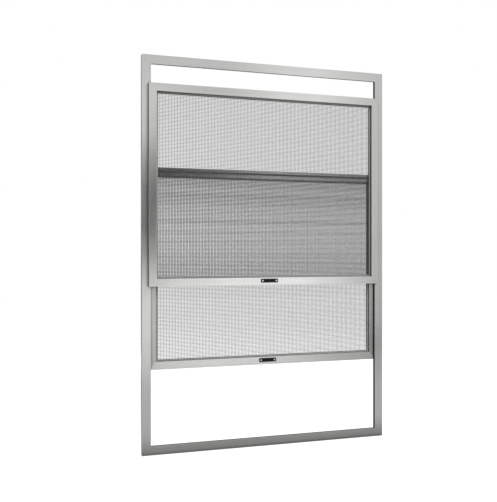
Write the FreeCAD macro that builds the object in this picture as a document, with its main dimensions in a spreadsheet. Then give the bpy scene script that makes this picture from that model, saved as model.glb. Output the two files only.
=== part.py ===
import FreeCAD, Part
import os
import re
import Sketcher

# A window screen with two framed sashes that slide up and down in one frame, in millimetres.
# X runs across the window, Y from its front to its back and Z up. The origin is on the
# underside of the sill, at mid width and mid depth.
# Depths in the formulas are counted back from the front face of the outer frame, and the
# places across an extrusion are counted inwards from its own outer edge.

SIZES = {
    # outer frame: one extrusion with two tracks on all four sides
    "frame_width": 800,
    "frame_height": 1200,
    "frame_face": 28,
    "frame_wall": 1.6,
    "front_flange": 1.6,
    "middle_flange": 1.4,
    "rear_flange": 1.4,
    "rear_flange_setback": 2,
    "front_groove_depth": 5.5,
    "rear_channel_depth": 8.5,
    "edge_round": 0.6,
    "corner_ease": 2.4,
    "fixing_hole": 3.9,
    "access_width": 6.2,
    "access_length": 14,
    "fixing_height": 150,
    # both sashes
    "sash_wall": 1.4,
    "ledge_width": 6,
    "ledge_lip": 1,
    "spline_groove_width": 3.8,
    "spline_groove_depth": 2,
    "meeting_overlap": 58,
    # upper sash, in the front track
    "upper_face": 24,
    "upper_ledge": 3.2,
    "sash_overlap": 8,
    "sash_proud": 10,
    "face_gap": 0.6,
    "neck_gap": 1,
    "fin_thickness": 1.4,
    "fin_tip_gap": 1.5,
    "upper_lowered": 65.5,
    # lower sash, in the rear track
    "lower_face": 24,
    "lower_ledge": 3.8,
    "lower_depth": 9,
    "tongue_thickness": 5.2,
    "tongue_tip_gap": 1.5,
    "rear_neck_gap": 3,
    "lower_raised": 233.7,
    # corner keys
    "key_leg": 42,
    "key_play": 0.2,
    "key_chamfer": 1.5,
    # glides and leaf springs
    "glide_length": 40,
    "glide_wall": 0.8,
    "glide_play": 0.2,
    "glide_reach": 4.2,
    "glide_from_end": 90,
    "spring_length": 60,
    "spring_thickness": 0.3,
    "spring_width": 2.6,
    "spring_play": 0.1,
    "spring_from_end": 190,
    # insect cloth and its spline
    "thread_width": 1.9,
    "thread_thickness": 0.45,
    "thread_parting": 0.1,
    "hem_thickness": 0.5,
    "warp_gaps": 78,
    "weft_gaps": 60,
    "spline_proud": 1.3,
    "spline_play": 0.1,
    "spline_round": 1.2,
    # finger pull and its screws
    "pull_length": 56,
    "pull_height": 11.5,
    "pull_plate": 1.6,
    "pull_corner": 2,
    "pull_above_edge": 14,
    "cup_height": 7,
    "cup_depth": 3.4,
    "cup_wall": 1.1,
    "lip_height": 1.3,
    "lip_proud": 1,
    "pull_play": 0.2,
    "screw_inset": 5.5,
    "cup_to_screw": 2.3,
    "screw_head": 5.4,
    "screw_shank": 2.9,
    "screw_reach": 6,
    "screw_play": 0.15,
    # pile strip between the meeting rails
    "pile_height": 6,
    "pile_play": 0.3,
    "pile_from_edge": 8,
}

FITS = {
    # outer frame
    "glide_room": "glide_wall + glide_play",
    "front_groove": "fin_thickness + 2 * glide_room",
    "rear_channel": "tongue_thickness + 2 * glide_room",
    "front_groove_back": "front_flange + front_groove",
    "channel_front": "front_groove_back + middle_flange",
    "channel_back": "channel_front + rear_channel",
    "frame_depth": "channel_back + rear_flange",
    "groove_floor": "frame_face - front_groove_depth",
    "channel_floor": "frame_face - rear_channel_depth",
    "frame_chamber": "channel_floor - frame_wall",
    # both sashes close against the frame with the play that they have at its sides
    "sash_height": "(frame_height - 2 * upper_inset + meeting_overlap) / 2",
    # upper sash
    "upper_inset": "frame_face - sash_overlap",
    "upper_width": "frame_width - 2 * upper_inset",
    "upper_middle": "frame_height - upper_inset - upper_lowered - sash_height / 2",
    "upper_front": "-sash_proud",
    "upper_box_back": "-face_gap",
    "upper_neck": "sash_overlap + neck_gap",
    "fin_front": "front_flange + glide_room",
    "fin_tip": "groove_floor + fin_tip_gap - upper_inset",
    "upper_back": "fin_front + fin_thickness",
    "upper_seat": "upper_back - upper_ledge",
    "upper_inner": "upper_face + ledge_width",
    # lower sash
    "lower_inset": "channel_floor + tongue_tip_gap",
    "lower_width": "frame_width - 2 * lower_inset",
    "lower_middle": "lower_inset + lower_raised + sash_height / 2",
    "lower_front": "channel_front + glide_room",
    "lower_neck": "frame_face - rear_flange_setback + rear_neck_gap - lower_inset",
    "tongue_back": "lower_front + tongue_thickness",
    "lower_back": "lower_front + lower_depth",
    "lower_seat": "lower_back - lower_ledge",
    "lower_inner": "lower_face + ledge_width",
    # cloth and pull
    "cloth_thickness": "2 * thread_thickness + thread_parting",
    "screw_spacing": "pull_length - 2 * screw_inset",
    "cup_length": "screw_spacing - screw_head - 2 * cup_to_screw",
    "screw_head_depth": "(screw_head - screw_shank) / 2",
}

doc = FreeCAD.newDocument("window_screen")
sheet = doc.addObject("Spreadsheet::Sheet", "Sizes")
for row, (alias, value) in enumerate(SIZES.items(), start=1):
    sheet.set("A%d" % row, alias)
    sheet.set("B%d" % row, str(value))
    sheet.setAlias("B%d" % row, alias)
doc.recompute()

pieces = []
# Places closer than this, in millimetres, count as one place when an edge is looked up
SAME_PLACE = 1e-4


# Formulas, sketches and features

def formula(text):
    """The sheet's expression for a formula written in the names of sizes and fits."""
    def swap(match):
        word = match.group()
        if word in SIZES:
            return "Sizes." + word
        return "(" + formula(FITS[word]) + ")"
    return re.sub(r"[a-z]\w*", swap, text)


def number(text):
    return float(sheet.evalExpression(formula(text)))


def point(across, along):
    return FreeCAD.Vector(number(across), number(along), 0)


def new_body(node):
    body = doc.addObject("PartDesign::Body", node)
    body.Label = node
    pieces.append(body)
    return body


def origin_feature(body, role):
    return next(feature for feature in body.Origin.OriginFeatures if feature.Role == role)


def new_sketch(body, name, plane, offset="0"):
    """A sketch on an origin plane of its body, moved along that plane's normal."""
    sketch = body.newObject("Sketcher::SketchObject", name)
    sketch.AttachmentSupport = [(origin_feature(body, plane), "")]
    sketch.MapMode = "FlatFace"
    sketch.setExpression("AttachmentOffset.Base.z", formula(offset))
    return sketch


def pin_down(sketch, line, end, across, along):
    """Ties one end of a line to the sketch's origin by two sizes."""
    for kind, text in (("DistanceX", across), ("DistanceY", along)):
        tie = sketch.addConstraint(Sketcher.Constraint(kind, -1, 1, line, end, number(text)))
        sketch.setExpression("Constraints[%d]" % tie, formula(text))


def outline(sketch, corners):
    """A closed outline of straight lines through corners that are given as formulas."""
    first = sketch.GeometryCount
    count = len(corners)
    for start, stop in zip(corners, corners[1:] + corners[:1]):
        sketch.addGeometry(Part.LineSegment(point(*start), point(*stop)), False)
    for index in range(count):
        following = first + (index + 1) % count
        sketch.addConstraint(Sketcher.Constraint("Coincident", first + index, 2, following, 1))
    for index, corner in enumerate(corners):
        pin_down(sketch, first + index, 1, *corner)


def rectangle(sketch, left, bottom, right, top):
    outline(sketch, [(left, bottom), (right, bottom), (right, top), (left, top)])


def circle(sketch, across, along, diameter):
    ring = sketch.addGeometry(Part.Circle(point(across, along), FreeCAD.Vector(0, 0, 1),
                                          number(diameter) / 2), False)
    pin_down(sketch, ring, 3, across, along)
    tie = sketch.addConstraint(Sketcher.Constraint("Diameter", ring, number(diameter)))
    sketch.setExpression("Constraints[%d]" % tie, formula(diameter))


def pad(body, name, sketch, length, both_ways=False):
    feature = body.newObject("PartDesign::Pad", name)
    feature.Profile = sketch
    feature.setExpression("Length", formula(length))
    feature.Midplane = both_ways
    doc.recompute()
    return feature


def pocket(body, name, sketch, length, towards_normal=False):
    """A cut of the given depth, or right through both ways where there is no depth."""
    before = body.Shape.Volume
    feature = body.newObject("PartDesign::Pocket", name)
    feature.Profile = sketch
    if length is None:
        feature.Type = "ThroughAll"
        feature.Midplane = True
    else:
        feature.setExpression("Length", formula(length))
        feature.Reversed = towards_normal
    doc.recompute()
    if not feature.Shape.Volume < before:
        raise RuntimeError(name + " cuts nothing from " + body.Label)
    return feature


def edges_along(shape, direction, places):
    """Names of the straight edges along one axis that pass through the given places."""
    names = []
    for index, edge in enumerate(shape.Edges, start=1):
        run = edge.Vertexes[-1].Point - edge.Vertexes[0].Point
        if run.Length < SAME_PLACE or run.cross(direction).Length > SAME_PLACE * run.Length:
            continue
        for place in places:
            if (edge.Vertexes[0].Point - place).cross(direction).Length < SAME_PLACE:
                names.append("Edge%d" % index)
    return names


def soften(body, kind, name, base, edges, size):
    """A fillet or a chamfer on named edges of the feature below it."""
    feature = body.newObject("PartDesign::" + kind, name)
    feature.Base = (base, edges)
    feature.setExpression("Radius" if kind == "Fillet" else "Size", formula(size))
    doc.recompute()
    return feature


def turn(body, degrees):
    body.Placement.Rotation = FreeCAD.Rotation(FreeCAD.Vector(0, 1, 0), degrees)


def place(body, across="0", back="0", up="0"):
    """Binds the place of a piece, with its depth counted from the frame's front face."""
    body.setExpression("Placement.Base.x", formula(across))
    body.setExpression("Placement.Base.y", formula(back + " - frame_depth / 2"))
    body.setExpression("Placement.Base.z", formula(up))


# Sections of the three extrusions, as depth and distance from the outer edge

FRAME_SECTION = [
    ("0", "0"),
    ("frame_depth", "0"),
    ("frame_depth", "frame_face - rear_flange_setback"),
    ("channel_back", "frame_face - rear_flange_setback"),
    ("channel_back", "channel_floor"),
    ("channel_front", "channel_floor"),
    ("channel_front", "frame_face"),
    ("front_groove_back", "frame_face"),
    ("front_groove_back", "groove_floor"),
    ("front_flange", "groove_floor"),
    ("front_flange", "frame_face"),
    ("0", "frame_face"),
]
FRAME_CHAMBERS = [("frame_wall", "frame_wall", "frame_depth - frame_wall", "frame_chamber")]
FRAME_ROUNDED = [("0", "0"), ("0", "frame_face")]


def ledge_corners(back, seat, inner):
    """The cloth ledge on the inner edge of a sash, with the spline groove in its front."""
    groove_inner = inner + " - ledge_lip"
    groove_outer = groove_inner + " - spline_groove_width"
    groove_bed = seat + " + spline_groove_depth"
    return [
        (back, inner),
        (seat, inner),
        (seat, groove_inner),
        (groove_bed, groove_inner),
        (groove_bed, groove_outer),
        (seat, groove_outer),
    ]


UPPER_SECTION = [
    ("upper_front", "0"),
    ("upper_box_back", "0"),
    ("upper_box_back", "upper_neck"),
    ("fin_front", "upper_neck"),
    ("fin_front", "fin_tip"),
    ("upper_back", "fin_tip"),
    *ledge_corners("upper_back", "upper_seat", "upper_inner"),
    ("upper_seat", "upper_face"),
    ("upper_front", "upper_face"),
]
UPPER_CHAMBERS = [
    ("upper_front + sash_wall", "sash_wall",
     "upper_box_back - sash_wall", "upper_face - sash_wall"),
    ("upper_box_back", "upper_neck + sash_wall",
     "upper_back - sash_wall", "upper_face - sash_wall"),
]
UPPER_ROUNDED = [("upper_front", "0"), ("upper_front", "upper_face")]

LOWER_SECTION = [
    ("lower_front", "0"),
    ("tongue_back", "0"),
    ("tongue_back", "lower_neck"),
    ("lower_back", "lower_neck"),
    *ledge_corners("lower_back", "lower_seat", "lower_inner"),
    ("lower_seat", "lower_face"),
    ("lower_front", "lower_face"),
]
LOWER_CHAMBERS = [
    ("lower_front + sash_wall", "lower_neck + sash_wall",
     "lower_back - sash_wall", "lower_face - sash_wall"),
    ("lower_front + sash_wall", "sash_wall",
     "tongue_back - sash_wall", "lower_neck"),
]
LOWER_ROUNDED = [("lower_front", "0"), ("lower_front", "lower_face")]

# The four sides of a frame: the turn about Y, and the share of width and height to its outer edge
SIDES = {
    "bottom": (0, "0", "-1 / 2"),
    "left": (90, "-1 / 2", "0"),
    "top": (180, "0", "1 / 2"),
    "right": (270, "1 / 2", "0"),
}


def bar(node, section, chambers, rounded, inner, length):
    """A length of extrusion along X with its outer edge down and both ends mitred."""
    body = new_body(node)
    profile = new_sketch(body, node + "_section", "YZ_Plane")
    outline(profile, section)
    for chamber in chambers:
        rectangle(profile, *chamber)
    extrusion = pad(body, node + "_extrusion", profile, length, both_ways=True)
    lines = [FreeCAD.Vector(0, number(back), number(along)) for back, along in rounded]
    edges = edges_along(extrusion.Shape, FreeCAD.Vector(1, 0, 0), lines)
    soften(body, "Fillet", node + "_edges", extrusion, edges, "edge_round")
    mitres = new_sketch(body, node + "_mitre_lines", "XZ_Plane")
    for end in ("-", ""):
        tip = "%s((%s) / 2 + (%s))" % (end, length, inner)
        root = "%s((%s) / 2 - 2 * (%s))" % (end, length, inner)
        outline(mitres, [(tip, "-(%s)" % inner), (tip, "2 * (%s)" % inner),
                         (root, "2 * (%s)" % inner)])
    pocket(body, node + "_mitres", mitres, None)
    return body


def framed(names, section, chambers, rounded, inner, width, height, middle):
    """Four mitred bars round a rectangle; returns them by side."""
    bars = {}
    for side, (degrees, share_x, share_z) in SIDES.items():
        length = width if side in ("bottom", "top") else height
        bars[side] = bar(names[side], section, chambers, rounded, inner, length)
        turn(bars[side], degrees)
        place(bars[side], across="(%s) * %s" % (width, share_x),
              up="%s + (%s) * %s" % (middle, height, share_z))
    return bars


def corner_keys(prefix, near, far, front, back, width, height, middle):
    """Four angle keys that fill the chamber of two bars across each mitre."""
    low = near + " + key_play"
    high = far + " - key_play"
    corners = {"bottom_left": (0, "-1 / 2", "-1 / 2"), "top_left": (90, "-1 / 2", "1 / 2"),
               "top_right": (180, "1 / 2", "1 / 2"), "bottom_right": (270, "1 / 2", "-1 / 2")}
    for corner, (degrees, share_x, share_z) in corners.items():
        node = "%s_key_%s" % (prefix, corner)
        body = new_body(node)
        sketch = new_sketch(body, node + "_angle", "XZ_Plane", "-(%s - key_play)" % back)
        outline(sketch, [(low, low), ("key_leg", low), ("key_leg", high),
                         (high, high), (high, "key_leg"), (low, "key_leg")])
        block = pad(body, node + "_block", sketch, "%s - (%s) - 2 * key_play" % (back, front))
        ends = [FreeCAD.Vector(number("key_leg"), 0, number(low)),
                FreeCAD.Vector(number("key_leg"), 0, number(high)),
                FreeCAD.Vector(number(low), 0, number("key_leg")),
                FreeCAD.Vector(number(high), 0, number("key_leg"))]
        edges = edges_along(block.Shape, FreeCAD.Vector(0, 1, 0), ends)
        soften(body, "Chamfer", node + "_lead_in", block, edges, "key_chamfer")
        turn(body, degrees)
        place(body, across="(%s) * %s" % (width, share_x),
              up="%s + (%s) * %s" % (middle, height, share_z))


# Outer frame

def outer_frame():
    names = {"bottom": "sill_rail", "left": "left_jamb", "top": "head_rail", "right": "right_jamb"}
    bars = framed(names, FRAME_SECTION, FRAME_CHAMBERS, FRAME_ROUNDED, "frame_face",
                  "frame_width", "frame_height", "frame_height / 2")
    for side in bars:
        blunt_tips(bars[side], "frame_width" if side in ("bottom", "top") else "frame_height")
    for side in ("left", "right"):
        fixing_holes(bars[side])
    corner_keys("frame", "frame_wall", "frame_chamber", "frame_wall", "frame_depth - frame_wall",
                "frame_width", "frame_height", "frame_height / 2")


def blunt_tips(mitred, length):
    """Takes the sharp tips off both mitred ends, so that the frame's outer corners are eased."""
    tips = new_sketch(mitred, mitred.Label + "_tips", "XZ_Plane")
    for end in ("-", ""):
        near = "%s(%s / 2 - 2 * corner_ease)" % (end, length)
        past = "%s(%s / 2 + corner_ease)" % (end, length)
        outline(tips, [(near, "-corner_ease"), (past, "-corner_ease"), (past, "2 * corner_ease")])
    pocket(mitred, mitred.Label + "_eased_tips", tips, None)


def fixing_holes(jamb):
    """Screw holes in the outer wall, with punched windows over them for the heads to pass."""
    channel_middle = "(channel_front + channel_back) / 2"
    drill = new_sketch(jamb, jamb.Label + "_fixings", "XY_Plane")
    reach = new_sketch(jamb, jamb.Label + "_access", "XY_Plane", "channel_floor")
    for end in ("-", ""):
        along = end + "(frame_height / 2 - fixing_height)"
        circle(drill, along, channel_middle, "fixing_hole")
        rectangle(reach, along + " - access_length / 2", channel_middle + " - access_width / 2",
                  along + " + access_length / 2", channel_middle + " + access_width / 2")
    pocket(jamb, jamb.Label + "_fixing_holes", drill, "frame_wall", towards_normal=True)
    pocket(jamb, jamb.Label + "_access_windows", reach, "frame_wall")


# Insect cloth and spline

def cloth(node, width, seat, inner, middle):
    """Upright threads in front and level threads behind them, joined at a turned-in hem."""
    body = new_body(node)
    clear_x = "(%s) / 2 - (%s)" % (width, inner)
    clear_z = "sash_height / 2 - (%s)" % inner
    rim_x = clear_x + " + ledge_lip"
    rim_z = clear_z + " + ledge_lip"
    hem_x = rim_x + " + hem_thickness"
    hem_z = rim_z + " + hem_thickness"
    warp_gap = "((2 * (%s) + thread_width) / warp_gaps - thread_width)" % clear_x
    weft_gap = "((2 * (%s) + thread_width) / weft_gaps - thread_width)" % clear_z

    def layer(name, back, slot, axis, pitch, count):
        sheet_face = new_sketch(body, node + "_" + name, "XZ_Plane", "-(%s)" % back)
        rectangle(sheet_face, "-(%s)" % hem_x, "-(%s)" % hem_z, hem_x, hem_z)
        pad(body, node + "_" + name + "_sheet", sheet_face, "thread_thickness")
        gap_face = new_sketch(body, node + "_" + name + "_gap", "XZ_Plane",
                              "-(%s - thread_thickness)" % back)
        rectangle(gap_face, *slot)
        gap = pocket(body, node + "_" + name + "_first_gap", gap_face, "thread_thickness")
        gaps = body.newObject("PartDesign::LinearPattern", node + "_" + name + "_gaps")
        gaps.Originals = [gap]
        gaps.Direction = (origin_feature(body, axis), [""])
        gaps.setExpression("Length", formula("(%s) * (%s - 1)" % (pitch, count)))
        gaps.setExpression("Occurrences", formula(count))
        body.Tip = gaps
        doc.recompute()

    layer("weft", seat,
          ("-(%s)" % clear_x, "-(%s)" % clear_z, clear_x, "-(%s) + %s" % (clear_z, weft_gap)),
          "Z_Axis", weft_gap + " + thread_width", "weft_gaps")
    parting = new_sketch(body, node + "_parting", "XZ_Plane", "-(%s - thread_thickness)" % seat)
    rectangle(parting, "-(%s)" % hem_x, "-(%s)" % hem_z, hem_x, hem_z)
    rectangle(parting, "-(%s)" % clear_x, "-(%s)" % clear_z, clear_x, clear_z)
    pad(body, node + "_parting_ring", parting, "thread_parting")
    layer("warp", seat + " - thread_thickness - thread_parting",
          ("-(%s)" % clear_x, "-(%s)" % clear_z, "-(%s) + %s" % (clear_x, warp_gap), clear_z),
          "X_Axis", warp_gap + " + thread_width", "warp_gaps")
    turned = new_sketch(body, node + "_hem", "XZ_Plane",
                        "-(%s + spline_groove_depth - spline_play)" % seat)
    rectangle(turned, "-(%s)" % hem_x, "-(%s)" % hem_z, hem_x, hem_z)
    rectangle(turned, "-(%s)" % rim_x, "-(%s)" % rim_z, rim_x, rim_z)
    pad(body, node + "_turned_hem", turned, "spline_groove_depth - spline_play")
    place(body, up=middle)


def spline(node, width, seat, inner, middle):
    """The bead that locks the turned hem in its groove, proud of the cloth and rounded."""
    body = new_body(node)
    low_x = "(%s) / 2 - (%s) + ledge_lip + hem_thickness + spline_play" % (width, inner)
    low_z = "sash_height / 2 - (%s) + ledge_lip + hem_thickness + spline_play" % inner
    bead = "spline_groove_width - hem_thickness - 2 * spline_play"
    ring = new_sketch(body, node + "_ring", "XZ_Plane",
                      "-(%s + spline_groove_depth - spline_play)" % seat)
    for x, z in ((low_x + " + " + bead, low_z + " + " + bead), (low_x, low_z)):
        rectangle(ring, "-(%s)" % x, "-(%s)" % z, x, z)
    run = pad(body, node + "_bead", ring, "spline_groove_depth - spline_play + spline_proud")
    front = number(seat + " - spline_proud")
    edges = ["Edge%d" % index for index, edge in enumerate(run.Shape.Edges, start=1)
             if all(abs(corner.Point.y - front) < SAME_PLACE for corner in edge.Vertexes)]
    soften(body, "Fillet", node + "_crown", run, edges, "spline_round")
    place(body, up=middle)


# Glides and leaf springs on the stiles

def glides(prefix, front, back, tip, width, middle):
    """Nylon clips over the running edge of both stiles, near their ends."""
    for side in ("left", "right"):
        degrees, share_x = SIDES[side][:2]
        for level, sign in (("high", "+"), ("low", "-")):
            body = new_body("%s_glide_%s_%s" % (prefix, side, level))
            clip = new_sketch(body, body.Label + "_clip", "YZ_Plane")
            outer_front = front + " - glide_wall"
            outer_back = back + " + glide_wall"
            reach = tip + " + glide_reach"
            outline(clip, [(outer_front, tip + " - glide_wall"), (outer_back, tip + " - glide_wall"),
                           (outer_back, reach), (back, reach), (back, tip),
                           (front, tip), (front, reach), (outer_front, reach)])
            run = pad(body, body.Label + "_run", clip, "glide_length", both_ways=True)
            half = number("glide_length / 2")
            ends = [FreeCAD.Vector(x, 0, number(tip + " - glide_wall")) for x in (-half, half)]
            edges = edges_along(run.Shape, FreeCAD.Vector(0, 1, 0), ends)
            soften(body, "Chamfer", body.Label + "_lead_in", run, edges, "glide_wall / 2")
            turn(body, degrees)
            place(body, across="(%s) * %s" % (width, share_x),
                  up="%s %s (sash_height / 2 - glide_from_end)" % (middle, sign))


def leaf_springs(prefix, front, back, tip, tip_gap, width, middle):
    """Bowed leaves on the right stile that press its running edge away from the track floor."""
    degrees, share_x = SIDES["right"][:2]
    rise = "(%s - spring_thickness - spring_play)" % tip_gap
    half = "spring_length / 2"
    radius = "((%s) ^ 2 + %s ^ 2) / (2 * %s)" % (half, rise, rise)
    for level, sign in (("high", "+"), ("low", "-")):
        body = new_body("%s_spring_%s" % (prefix, level))
        bow = new_sketch(body, body.Label + "_bow", "XZ_Plane",
                         "-((%s + %s) / 2 + spring_width / 2)" % (front, back))
        for inset in ("0", "spring_thickness"):
            foot = "%s - %s" % (tip, inset)
            crown = "%s - %s" % (foot, rise)
            arc = sketch_arc(bow, ("-(%s)" % half, foot), ("0", crown), (half, foot))
            tie = bow.addConstraint(Sketcher.Constraint("Radius", arc, number(radius)))
            bow.setExpression("Constraints[%d]" % tie, formula(radius))
        for end in ("-(%s)" % half, half):
            bow.addGeometry(Part.LineSegment(point(end, tip),
                                             point(end, tip + " - spring_thickness")), False)
        for line, arc_end in ((2, "left"), (3, "right")):
            join_foot(bow, line, arc_end)
        pad(body, body.Label + "_leaf", bow, "spring_width")
        turn(body, degrees)
        place(body, across="(%s) * %s" % (width, share_x),
              up="%s %s (sash_height / 2 - spring_from_end)" % (middle, sign))


def sketch_arc(sketch, start, crown, stop):
    """An arc through three places, with its two ends tied to the sketch's origin."""
    bend = Part.Arc(point(*start), point(*crown), point(*stop))
    arc = sketch.addGeometry(bend, False)
    for end in (1, 2):
        vertex = sketch.getPoint(arc, end)
        left = vertex.x < 0
        pin_down(sketch, arc, end, *(start if left else stop))
    return arc


def join_foot(sketch, line, side):
    """Joins a short end line to the ends of the two arcs on one side."""
    for end in (1, 2):
        arc = end - 1
        for arc_end in (1, 2):
            if (sketch.getPoint(arc, arc_end).x < 0) == (side == "left"):
                sketch.addConstraint(Sketcher.Constraint("Coincident", line, end, arc, arc_end))


# Finger pull and its screws

def pull_window(rail, front):
    """Opens the front wall of a bottom rail for the cup and the screws of its pull."""
    opening = new_sketch(rail, rail.Label + "_window", "XZ_Plane", "-(%s)" % front)
    half_x = "cup_length / 2 + pull_play"
    half_z = "cup_height / 2 + pull_play"
    rectangle(opening, "-(%s)" % half_x, "pull_above_edge - (%s)" % half_z,
              half_x, "pull_above_edge + " + half_z)
    for side in ("-", ""):
        circle(opening, side + "screw_spacing / 2", "pull_above_edge",
               "screw_shank + 2 * screw_play")
    pocket(rail, rail.Label + "_pull_window", opening, "sash_wall")


def finger_pull(prefix, front, middle):
    """A plate with a cup let into the rail and a lip over the cup to lift the sash by."""
    body = new_body(prefix + "_pull")
    face = new_sketch(body, body.Label + "_plate", "XZ_Plane")
    rectangle(face, "-pull_length / 2", "-pull_height / 2", "pull_length / 2", "pull_height / 2")
    plate = pad(body, body.Label + "_base", face, "pull_plate")
    corners = [FreeCAD.Vector(x * number("pull_length / 2"), 0, z * number("pull_height / 2"))
               for x in (-1, 1) for z in (-1, 1)]
    edges = edges_along(plate.Shape, FreeCAD.Vector(0, 1, 0), corners)
    soften(body, "Fillet", body.Label + "_corners", plate, edges, "pull_corner")
    cup = new_sketch(body, body.Label + "_cup", "XZ_Plane", "-cup_depth")
    rectangle(cup, "-cup_length / 2", "-cup_height / 2", "cup_length / 2", "cup_height / 2")
    pad(body, body.Label + "_cup_block", cup, "cup_depth")
    lip = new_sketch(body, body.Label + "_lip", "XZ_Plane", "pull_plate")
    lip_low = "cup_height / 2 - cup_wall"
    rectangle(lip, "-cup_length / 2", lip_low, "cup_length / 2", lip_low + " + lip_height")
    ledge = pad(body, body.Label + "_lip_bar", lip, "lip_proud")
    crests = [FreeCAD.Vector(0, -number("pull_plate + lip_proud"), number(z))
              for z in (lip_low, lip_low + " + lip_height")]
    soften(body, "Chamfer", body.Label + "_lip_edges", ledge,
           edges_along(ledge.Shape, FreeCAD.Vector(1, 0, 0), crests), "lip_height / 4")
    hollow = new_sketch(body, body.Label + "_hollow", "XZ_Plane", "pull_plate")
    hollow_x = "cup_length / 2 - cup_wall"
    hollow_z = "cup_height / 2 - cup_wall"
    rectangle(hollow, "-(%s)" % hollow_x, "-(%s)" % hollow_z, hollow_x, hollow_z)
    pocket(body, body.Label + "_recess", hollow, "pull_plate + cup_depth - cup_wall")
    holes = new_sketch(body, body.Label + "_holes", "XZ_Plane", "pull_plate")
    for side in ("-", ""):
        circle(holes, side + "screw_spacing / 2", "0", "screw_shank + 2 * screw_play")
    drilled = pocket(body, body.Label + "_screw_holes", holes, "pull_plate")
    front_y = -number("pull_plate")
    bore = number("screw_shank / 2 + screw_play")
    rims = ["Edge%d" % index for index, edge in enumerate(drilled.Shape.Edges, start=1)
            if isinstance(edge.Curve, Part.Circle) and abs(edge.Curve.Radius - bore) < SAME_PLACE
            and abs(edge.Curve.Center.y - front_y) < SAME_PLACE]
    soften(body, "Chamfer", body.Label + "_countersinks", drilled, rims, "screw_head_depth")
    place(body, back=front, up="%s - sash_height / 2 + pull_above_edge" % middle)


def pull_screws(prefix, front, middle):
    """Countersunk screws, flush with the plate, through the front wall of the rail."""
    for side, sign in (("left", "-"), ("right", "")):
        body = new_body("%s_pull_screw_%s" % (prefix, side))
        half = new_sketch(body, body.Label + "_half", "XY_Plane")
        head_front = "-pull_plate"
        head_back = "-pull_plate + screw_head_depth"
        outline(half, [("0", head_front), ("screw_head / 2", head_front),
                       ("screw_shank / 2", head_back),
                       ("screw_shank / 2", "screw_reach"), ("0", "screw_reach")])
        turned = body.newObject("PartDesign::Revolution", body.Label + "_turned")
        turned.Profile = half
        turned.ReferenceAxis = (origin_feature(body, "Y_Axis"), [""])
        turned.Angle = 360
        doc.recompute()
        place(body, across=sign + "screw_spacing / 2", back=front,
              up="%s - sash_height / 2 + pull_above_edge" % middle)


def meeting_pile():
    """The brush strip on the lower sash that closes the gap behind the upper sash."""
    strip = doc.addObject("Part::Box", "meeting_pile")
    strip.Label = "meeting_pile"
    pieces.append(strip)
    length = "lower_width - 2 * lower_inner"
    strip.setExpression("Length", formula(length))
    strip.setExpression("Width", formula("lower_front - upper_back - pile_play"))
    strip.setExpression("Height", formula("pile_height"))
    place(strip, across="-(%s) / 2" % length, back="upper_back + pile_play",
          up="lower_middle + sash_height / 2 - pile_from_edge - pile_height")


# The two sashes

def sash(prefix, section, chambers, rounded, key_chamber, front, running, tip_gap):
    """One sash: four bars, keys, cloth, spline, pull, screws, glides and springs."""
    width = prefix + "_width"
    middle = prefix + "_middle"
    inner = prefix + "_inner"
    seat = prefix + "_seat"
    names = {"bottom": prefix + "_bottom_rail", "left": prefix + "_left_stile",
             "top": prefix + "_top_rail", "right": prefix + "_right_stile"}
    bars = framed(names, section, chambers, rounded, inner, width, "sash_height", middle)
    pull_window(bars["bottom"], front)
    key_front, key_near, key_back, key_far = key_chamber
    corner_keys(prefix, key_near, key_far, key_front, key_back, width, "sash_height", middle)
    cloth(prefix + "_cloth", width, seat, inner, middle)
    spline(prefix + "_spline", width, seat, inner, middle)
    finger_pull(prefix, front, middle)
    pull_screws(prefix, front, middle)
    glides(prefix, *running, width, middle)
    leaf_springs(prefix, *running, tip_gap, width, middle)


def check_and_write():
    """Stops at any failed object or bad shape, then writes one file for each piece."""
    doc.recompute()
    for thing in doc.Objects:
        if "Invalid" in thing.State or "Error" in thing.State:
            raise RuntimeError(thing.Label + " failed: " + ", ".join(thing.State))
    for piece in pieces:
        if piece.Shape.isNull() or not piece.Shape.isValid() or len(piece.Shape.Solids) != 1:
            raise RuntimeError(piece.Label + " isn't one valid solid")
    os.makedirs("parts", exist_ok=True)
    for piece in pieces:
        piece.Shape.exportStep(os.path.join("parts", piece.Label + ".step"))


outer_frame()
sash("upper", UPPER_SECTION, UPPER_CHAMBERS, UPPER_ROUNDED, UPPER_CHAMBERS[0], "upper_front",
     ("fin_front", "upper_back", "fin_tip"), "fin_tip_gap")
sash("lower", LOWER_SECTION, LOWER_CHAMBERS, LOWER_ROUNDED, LOWER_CHAMBERS[0], "lower_front",
     ("lower_front", "tongue_back", "0"), "tongue_tip_gap")
meeting_pile()
check_and_write()
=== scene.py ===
# %% [markdown]
# # A sliding window screen, dressed in Blender
# The real object is an insect screen for a window: an aluminium frame with two tracks, and two
# sashes of stretched cloth that slide up and down in it. The solids already have their shapes
# and places, so this lesson gives them finishes and makes the few pieces that are too fine for
# solids: the woven cloth, the screw heads and the brush strip.

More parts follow.
